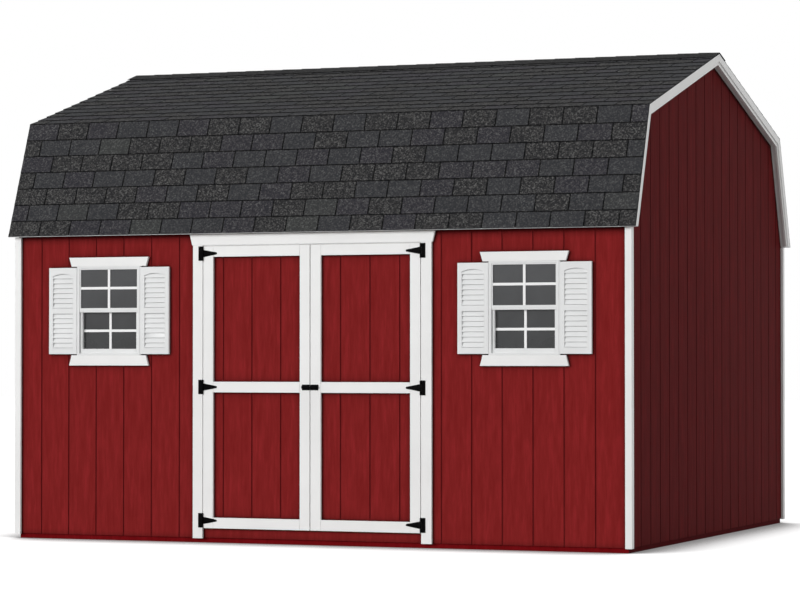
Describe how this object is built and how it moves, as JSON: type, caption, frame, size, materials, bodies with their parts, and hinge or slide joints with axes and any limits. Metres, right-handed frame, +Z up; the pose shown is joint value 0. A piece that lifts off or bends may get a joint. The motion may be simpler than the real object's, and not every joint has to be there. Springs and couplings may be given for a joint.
{
  "type": "gambrel-roofed garden barn",
  "caption": "Small gambrel-roofed timber barn with red grooved siding, white trim, hinged barn doors between shuttered windows and a dark shingled roof.",
  "frame": {"origin": "on the ground at the middle of the plan", "axes": "+X along the ridge, to the right seen from the doors; -Y out of the doors; +Z up"},
  "size_m": [4.372, 3.7464, 3.2463],
  "materials": {
    "red_siding": "red paint over embossed panel siding",
    "red_base": "red paint on floor rim boards",
    "white_trim": "white painted boards",
    "framing_timber": "planed softwood",
    "sheathing": "strand board sheets",
    "shingles": "granule-faced asphalt shingles",
    "white_vinyl": "moulded white vinyl",
    "white_metal": "white coated sheet metal",
    "black_iron": "black coated steel",
    "window_glass": "clear sheet glass"
  },
  "bodies": {
    "building": {"floor_rim_boards": "red_base", "floor_joists": "framing_timber", "floor_deck": "sheathing", "front_wall_left": "red_siding", "front_wall_right": "red_siding", "front_wall_over_door": "red_siding", "front_wall_under_door": "red_siding", "back_wall": "red_siding", "left_gable_wall": "red_siding", "right_gable_wall": "red_siding", "wall_plates": "framing_timber", "front_wall_studs": "framing_timber", "back_wall_studs": "framing_timber", "gable_studs": "framing_timber", "lower_rafters": "framing_timber", "upper_rafters": "framing_timber", "rafter_gussets": "sheathing", "lower_roof_decks": "sheathing", "upper_roof_decks": "sheathing", "lower_shingles": "shingles", "upper_shingles": "shingles", "ridge_cap": "shingles", "eave_drip_edges": "white_metal", "fly_rafters": "white_trim", "rake_boards": "white_trim", "rake_mouldings": "white_trim", "corner_boards": "white_trim", "door_posts": "white_trim", "door_header": "white_trim", "door_hinge_plates": "black_iron", "window_frames": "white_vinyl", "window_sashes": "white_vinyl", "window_panes": "window_glass", "window_headers": "white_trim", "window_sills": "white_trim", "shutters": "white_vinyl"},
    "left_door": {"left_door_panel": "red_siding", "left_door_boards": "white_trim", "left_door_back_boards": "framing_timber", "left_hinge_straps": "black_iron", "latch_keeper": "black_iron"},
    "right_door": {"right_door_panel": "red_siding", "right_door_boards": "white_trim", "right_door_back_boards": "framing_timber", "right_hinge_straps": "black_iron", "latch_bolt": "black_iron"}
  },
  "joints": [
    {"name": "left_door_swing", "type": "hinge", "parent": "building", "child": "left_door", "pos_m": [-0.759, -1.8425, 1.008], "axis": [0, 0, -1], "range_deg": [0, 170]},
    {"name": "right_door_swing", "type": "hinge", "parent": "building", "child": "right_door", "pos_m": [0.759, -1.8425, 1.008], "axis": [0, 0, 1], "range_deg": [0, 170]}
  ]
}
